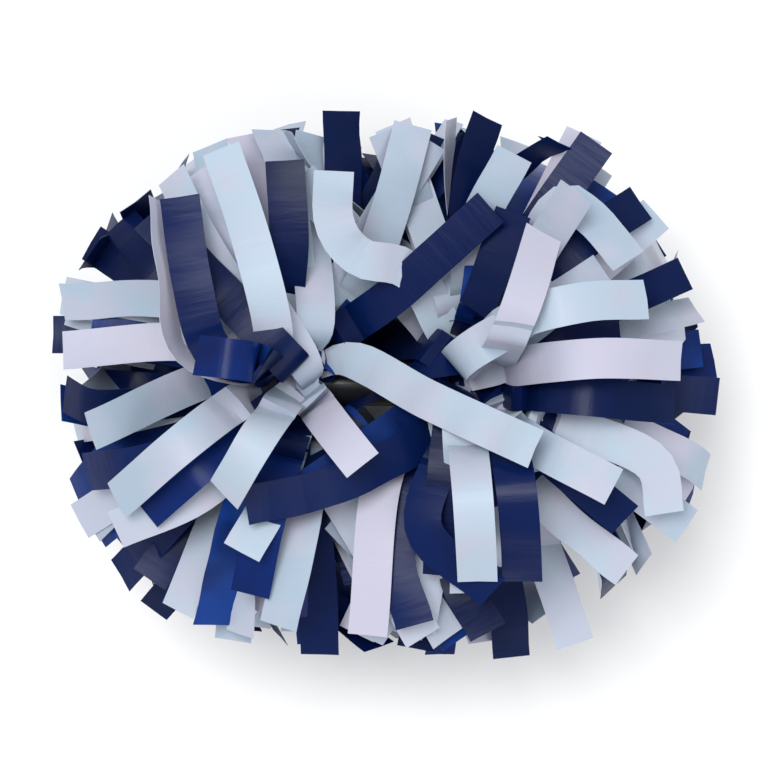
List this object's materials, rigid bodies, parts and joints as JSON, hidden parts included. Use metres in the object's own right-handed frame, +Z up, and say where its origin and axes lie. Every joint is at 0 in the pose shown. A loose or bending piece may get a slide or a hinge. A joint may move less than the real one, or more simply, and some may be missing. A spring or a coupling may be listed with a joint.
{
  "type": "cheer pom pom",
  "caption": "Hand-held cheer pom pom: a short baton with a bunch of white and blue film streamers tied on each end.",
  "frame": {"origin": "centre of the underside, on the surface that the pom rests on, below the middle of the baton", "axes": "+X along the baton to its right end, +Y to the back, +Z up"},
  "size_m": [0.332, 0.273, 0.2201],
  "materials": {
    "white_film": "satin film",
    "blue_film": "satin film",
    "mixed_film": "satin film in two colours",
    "baton_plastic": "moulded, lightly glossy",
    "cap_plastic": "moulded, fine grain",
    "binding_tape": "satin tape",
    "tie_nylon": "natural nylon"
  },
  "bodies": {
    "baton": {"baton_tube": "baton_plastic", "left_end_cap": "cap_plastic", "left_stop_collar": "cap_plastic", "left_white_sheet_band_1": "white_film", "left_blue_sheet_band_1": "blue_film", "left_white_sheet_band_2": "white_film", "left_blue_sheet_band_2": "blue_film", "left_binding_tape": "binding_tape", "left_cable_tie": "tie_nylon", "right_end_cap": "cap_plastic", "right_stop_collar": "cap_plastic", "right_white_sheet_band_1": "white_film", "right_blue_sheet_band_1": "blue_film", "right_white_sheet_band_2": "white_film", "right_blue_sheet_band_2": "blue_film", "right_binding_tape": "binding_tape", "right_cable_tie": "tie_nylon"},
    "left_inner_tuft_top": {"left_inner_tuft_top": "mixed_film"},
    "left_inner_tuft_upper_front": {"left_inner_tuft_upper_front": "mixed_film"},
    "left_inner_tuft_lower_front": {"left_inner_tuft_lower_front": "mixed_film"},
    "left_inner_tuft_bottom": {"left_inner_tuft_bottom": "mixed_film"},
    "left_inner_tuft_lower_back": {"left_inner_tuft_lower_back": "mixed_film"},
    "left_inner_tuft_upper_back": {"left_inner_tuft_upper_back": "mixed_film"},
    "left_outer_tuft_top_front": {"left_outer_tuft_top_front": "mixed_film"},
    "left_outer_tuft_front": {"left_outer_tuft_front": "mixed_film"},
    "left_outer_tuft_bottom_front": {"left_outer_tuft_bottom_front": "mixed_film"},
    "left_outer_tuft_bottom_back": {"left_outer_tuft_bottom_back": "mixed_film"},
    "left_outer_tuft_back": {"left_outer_tuft_back": "mixed_film"},
    "left_outer_tuft_top_back": {"left_outer_tuft_top_back": "mixed_film"},
    "left_end_tuft": {"left_end_tuft": "mixed_film"},
    "right_inner_tuft_top": {"right_inner_tuft_top": "mixed_film"},
    "right_inner_tuft_upper_front": {"right_inner_tuft_upper_front": "mixed_film"},
    "right_inner_tuft_lower_front": {"right_inner_tuft_lower_front": "mixed_film"},
    "right_inner_tuft_bottom": {"right_inner_tuft_bottom": "mixed_film"},
    "right_inner_tuft_lower_back": {"right_inner_tuft_lower_back": "mixed_film"},
    "right_inner_tuft_upper_back": {"right_inner_tuft_upper_back": "mixed_film"},
    "right_outer_tuft_top_front": {"right_outer_tuft_top_front": "mixed_film"},
    "right_outer_tuft_front": {"right_outer_tuft_front": "mixed_film"},
    "right_outer_tuft_bottom_front": {"right_outer_tuft_bottom_front": "mixed_film"},
    "right_outer_tuft_bottom_back": {"right_outer_tuft_bottom_back": "mixed_film"},
    "right_outer_tuft_back": {"right_outer_tuft_back": "mixed_film"},
    "right_outer_tuft_top_back": {"right_outer_tuft_top_back": "mixed_film"},
    "right_end_tuft": {"right_end_tuft": "mixed_film"}
  },
  "joints": [
    {"name": "left_inner_flare", "type": "hinge", "parent": "baton", "child": "left_inner_tuft_top", "pos_m": [-0.041, 0, 0.122], "axis": [0, 1, 0], "range_deg": [-6, 6], "stiffness_Nm_per_rad": 0.4},
    {"name": "left_inner_flare_upper_front", "type": "hinge", "parent": "baton", "child": "left_inner_tuft_upper_front", "pos_m": [-0.041, -0.01212, 0.115], "axis": [0, 0.5, 0.866], "range_deg": [-6, 6], "stiffness_Nm_per_rad": 0.4},
    {"name": "left_inner_flare_lower_front", "type": "hinge", "parent": "baton", "child": "left_inner_tuft_lower_front", "pos_m": [-0.041, -0.01212, 0.101], "axis": [0, -0.5, 0.866], "range_deg": [-6, 6], "stiffness_Nm_per_rad": 0.4},
    {"name": "left_inner_flare_bottom", "type": "hinge", "parent": "baton", "child": "left_inner_tuft_bottom", "pos_m": [-0.041, 0, 0.094], "axis": [0, -1, 0], "range_deg": [-6, 6], "stiffness_Nm_per_rad": 0.4},
    {"name": "left_inner_flare_lower_back", "type": "hinge", "parent": "baton", "child": "left_inner_tuft_lower_back", "pos_m": [-0.041, 0.01212, 0.101], "axis": [0, -0.5, -0.866], "range_deg": [-6, 6], "stiffness_Nm_per_rad": 0.4},
    {"name": "left_inner_flare_upper_back", "type": "hinge", "parent": "baton", "child": "left_inner_tuft_upper_back", "pos_m": [-0.041, 0.01212, 0.115], "axis": [0, 0.5, -0.866], "range_deg": [-6, 6], "stiffness_Nm_per_rad": 0.4},
    {"name": "left_outer_flare", "type": "hinge", "parent": "baton", "child": "left_outer_tuft_top_front", "pos_m": [-0.053, -0.007, 0.12012], "axis": [0, 0.866, 0.5], "range_deg": [-6, 6], "stiffness_Nm_per_rad": 0.4},
    {"name": "left_outer_flare_front", "type": "hinge", "parent": "baton", "child": "left_outer_tuft_front", "pos_m": [-0.053, -0.014, 0.108], "axis": [0, 0, 1], "range_deg": [-6, 6], "stiffness_Nm_per_rad": 0.4},
    {"name": "left_outer_flare_bottom_front", "type": "hinge", "parent": "baton", "child": "left_outer_tuft_bottom_front", "pos_m": [-0.053, -0.007, 0.09588], "axis": [0, -0.866, 0.5], "range_deg": [-6, 6], "stiffness_Nm_per_rad": 0.4},
    {"name": "left_outer_flare_bottom_back", "type": "hinge", "parent": "baton", "child": "left_outer_tuft_bottom_back", "pos_m": [-0.053, 0.007, 0.09588], "axis": [0, -0.866, -0.5], "range_deg": [-6, 6], "stiffness_Nm_per_rad": 0.4},
    {"name": "left_outer_flare_back", "type": "hinge", "parent": "baton", "child": "left_outer_tuft_back", "pos_m": [-0.053, 0.014, 0.108], "axis": [0, 0, -1], "range_deg": [-6, 6], "stiffness_Nm_per_rad": 0.4},
    {"name": "left_outer_flare_top_back", "type": "hinge", "parent": "baton", "child": "left_outer_tuft_top_back", "pos_m": [-0.053, 0.007, 0.12012], "axis": [0, 0.866, -0.5], "range_deg": [-6, 6], "stiffness_Nm_per_rad": 0.4},
    {"name": "left_end_nod", "type": "hinge", "parent": "baton", "child": "left_end_tuft", "pos_m": [-0.06, 0, 0.108], "axis": [0, 1, 0], "range_deg": [-6, 6], "stiffness_Nm_per_rad": 0.4},
    {"name": "right_inner_flare", "type": "hinge", "parent": "baton", "child": "right_inner_tuft_top", "pos_m": [0.041, 0, 0.122], "axis": [0, -1, 0], "range_deg": [-6, 6], "stiffness_Nm_per_rad": 0.4},
    {"name": "right_inner_flare_upper_front", "type": "hinge", "parent": "baton", "child": "right_inner_tuft_upper_front", "pos_m": [0.041, -0.01212, 0.115], "axis": [0, -0.5, -0.866], "range_deg": [-6, 6], "stiffness_Nm_per_rad": 0.4},
    {"name": "right_inner_flare_lower_front", "type": "hinge", "parent": "baton", "child": "right_inner_tuft_lower_front", "pos_m": [0.041, -0.01212, 0.101], "axis": [0, 0.5, -0.866], "range_deg": [-6, 6], "stiffness_Nm_per_rad": 0.4},
    {"name": "right_inner_flare_bottom", "type": "hinge", "parent": "baton", "child": "right_inner_tuft_bottom", "pos_m": [0.041, 0, 0.094], "axis": [0, 1, 0], "range_deg": [-6, 6], "stiffness_Nm_per_rad": 0.4},
    {"name": "right_inner_flare_lower_back", "type": "hinge", "parent": "baton", "child": "right_inner_tuft_lower_back", "pos_m": [0.041, 0.01212, 0.101], "axis": [0, 0.5, 0.866], "range_deg": [-6, 6], "stiffness_Nm_per_rad": 0.4},
    {"name": "right_inner_flare_upper_back", "type": "hinge", "parent": "baton", "child": "right_inner_tuft_upper_back", "pos_m": [0.041, 0.01212, 0.115], "axis": [0, -0.5, 0.866], "range_deg": [-6, 6], "stiffness_Nm_per_rad": 0.4},
    {"name": "right_outer_flare", "type": "hinge", "parent": "baton", "child": "right_outer_tuft_top_front", "pos_m": [0.053, -0.007, 0.12012], "axis": [0, -0.866, -0.5], "range_deg": [-6, 6], "stiffness_Nm_per_rad": 0.4},
    {"name": "right_outer_flare_front", "type": "hinge", "parent": "baton", "child": "right_outer_tuft_front", "pos_m": [0.053, -0.014, 0.108], "axis": [0, 0, -1], "range_deg": [-6, 6], "stiffness_Nm_per_rad": 0.4},
    {"name": "right_outer_flare_bottom_front", "type": "hinge", "parent": "baton", "child": "right_outer_tuft_bottom_front", "pos_m": [0.053, -0.007, 0.09588], "axis": [0, 0.866, -0.5], "range_deg": [-6, 6], "stiffness_Nm_per_rad": 0.4},
    {"name": "right_outer_flare_bottom_back", "type": "hinge", "parent": "baton", "child": "right_outer_tuft_bottom_back", "pos_m": [0.053, 0.007, 0.09588], "axis": [0, 0.866, 0.5], "range_deg": [-6, 6], "stiffness_Nm_per_rad": 0.4},
    {"name": "right_outer_flare_back", "type": "hinge", "parent": "baton", "child": "right_outer_tuft_back", "pos_m": [0.053, 0.014, 0.108], "axis": [0, 0, 1], "range_deg": [-6, 6], "stiffness_Nm_per_rad": 0.4},
    {"name": "right_outer_flare_top_back", "type": "hinge", "parent": "baton", "child": "right_outer_tuft_top_back", "pos_m": [0.053, 0.007, 0.12012], "axis": [0, -0.866, 0.5], "range_deg": [-6, 6], "stiffness_Nm_per_rad": 0.4},
    {"name": "right_end_nod", "type": "hinge", "parent": "baton", "child": "right_end_tuft", "pos_m": [0.06, 0, 0.108], "axis": [0, -1, 0], "range_deg": [-6, 6], "stiffness_Nm_per_rad": 0.4}
  ],
  "couplings": [
    {"joint": "left_inner_flare_upper_front", "follows": "left_inner_flare", "ratio": 1},
    {"joint": "left_inner_flare_lower_front", "follows": "left_inner_flare", "ratio": 1},
    {"joint": "left_inner_flare_bottom", "follows": "left_inner_flare", "ratio": 1},
    {"joint": "left_inner_flare_lower_back", "follows": "left_inner_flare", "ratio": 1},
    {"joint": "left_inner_flare_upper_back", "follows": "left_inner_flare", "ratio": 1},
    {"joint": "left_outer_flare_front", "follows": "left_outer_flare", "ratio": 1},
    {"joint": "left_outer_flare_bottom_front", "follows": "left_outer_flare", "ratio": 1},
    {"joint": "left_outer_flare_bottom_back", "follows": "left_outer_flare", "ratio": 1},
    {"joint": "left_outer_flare_back", "follows": "left_outer_flare", "ratio": 1},
    {"joint": "left_outer_flare_top_back", "follows": "left_outer_flare", "ratio": 1},
    {"joint": "right_inner_flare_upper_front", "follows": "right_inner_flare", "ratio": 1},
    {"joint": "right_inner_flare_lower_front", "follows": "right_inner_flare", "ratio": 1},
    {"joint": "right_inner_flare_bottom", "follows": "right_inner_flare", "ratio": 1},
    {"joint": "right_inner_flare_lower_back", "follows": "right_inner_flare", "ratio": 1},
    {"joint": "right_inner_flare_upper_back", "follows": "right_inner_flare", "ratio": 1},
    {"joint": "right_outer_flare_front", "follows": "right_outer_flare", "ratio": 1},
    {"joint": "right_outer_flare_bottom_front", "follows": "right_outer_flare", "ratio": 1},
    {"joint": "right_outer_flare_bottom_back", "follows": "right_outer_flare", "ratio": 1},
    {"joint": "right_outer_flare_back", "follows": "right_outer_flare", "ratio": 1},
    {"joint": "right_outer_flare_top_back", "follows": "right_outer_flare", "ratio": 1}
  ]
}
